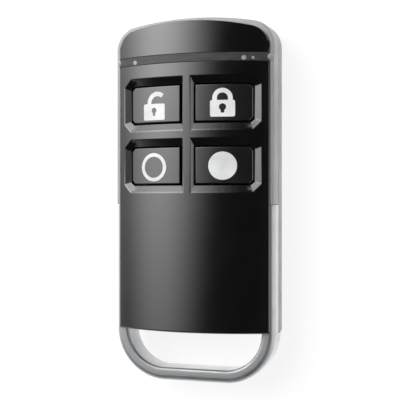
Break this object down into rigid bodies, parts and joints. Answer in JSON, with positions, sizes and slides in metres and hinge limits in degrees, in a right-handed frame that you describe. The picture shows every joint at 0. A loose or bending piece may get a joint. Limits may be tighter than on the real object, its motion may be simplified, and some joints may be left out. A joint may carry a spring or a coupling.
{
  "type": "alarm key fob",
  "caption": "Slim alarm remote with a crowned black face, recessed press keys, a light strip, a silver side frame and a bright key-ring loop.",
  "frame": {"origin": "middle of the overall length and width, on the flat back", "axes": "+Z out of the front face, +Y towards the arched top, +X to the right seen from the front"},
  "size_m": [0.0326, 0.0716, 0.012],
  "materials": {
    "black_satin": "fine satin moulding",
    "key_black": "satin key cap",
    "smoked_clear": "smoked light guide",
    "satin_silver": "satin metallic paint",
    "rear_silver": "satin metallic paint",
    "bright_loop": "bright plated casting",
    "steel": "bright",
    "cell_can": "bright can",
    "contact_brass": "plain",
    "board": "green resist",
    "dark_moulding": "plain",
    "ceramic": "plain",
    "lamp_white": "clear lens"
  },
  "bodies": {
    "case": {"front_cover": "black_satin", "light_strip": "smoked_clear", "side_frame": "satin_silver", "key_loop": "bright_loop", "rear_shell": "rear_silver", "case_screws": "steel", "circuit_board": "board", "switch_base_unlock": "dark_moulding", "switch_base_lock": "dark_moulding", "switch_base_ring": "dark_moulding", "switch_base_disc": "dark_moulding", "switch_plate_unlock": "steel", "switch_plate_lock": "steel", "switch_plate_ring": "steel", "switch_plate_disc": "steel", "coin_cell": "cell_can", "battery_clip": "steel", "cell_contact": "contact_brass", "microcontroller": "dark_moulding", "crystal": "steel", "passives": "ceramic", "antenna": "contact_brass", "status_led_left": "lamp_white", "status_led_right": "lamp_white"},
    "key_unlock": {"button_unlock": "key_black", "plunger_unlock": "dark_moulding"},
    "key_lock": {"button_lock": "key_black", "plunger_lock": "dark_moulding"},
    "key_ring": {"button_ring": "key_black", "plunger_ring": "dark_moulding"},
    "key_disc": {"button_disc": "key_black", "plunger_disc": "dark_moulding"}
  },
  "joints": [
    {"name": "press_unlock", "type": "slide", "parent": "case", "child": "key_unlock", "axis": [0, 0, -1], "range_m": [0, 0.0005], "stiffness_N_per_m": 800},
    {"name": "press_lock", "type": "slide", "parent": "case", "child": "key_lock", "axis": [0, 0, -1], "range_m": [0, 0.0005], "stiffness_N_per_m": 800},
    {"name": "press_ring", "type": "slide", "parent": "case", "child": "key_ring", "axis": [0, 0, -1], "range_m": [0, 0.0005], "stiffness_N_per_m": 800},
    {"name": "press_disc", "type": "slide", "parent": "case", "child": "key_disc", "axis": [0, 0, -1], "range_m": [0, 0.0005], "stiffness_N_per_m": 800}
  ]
}
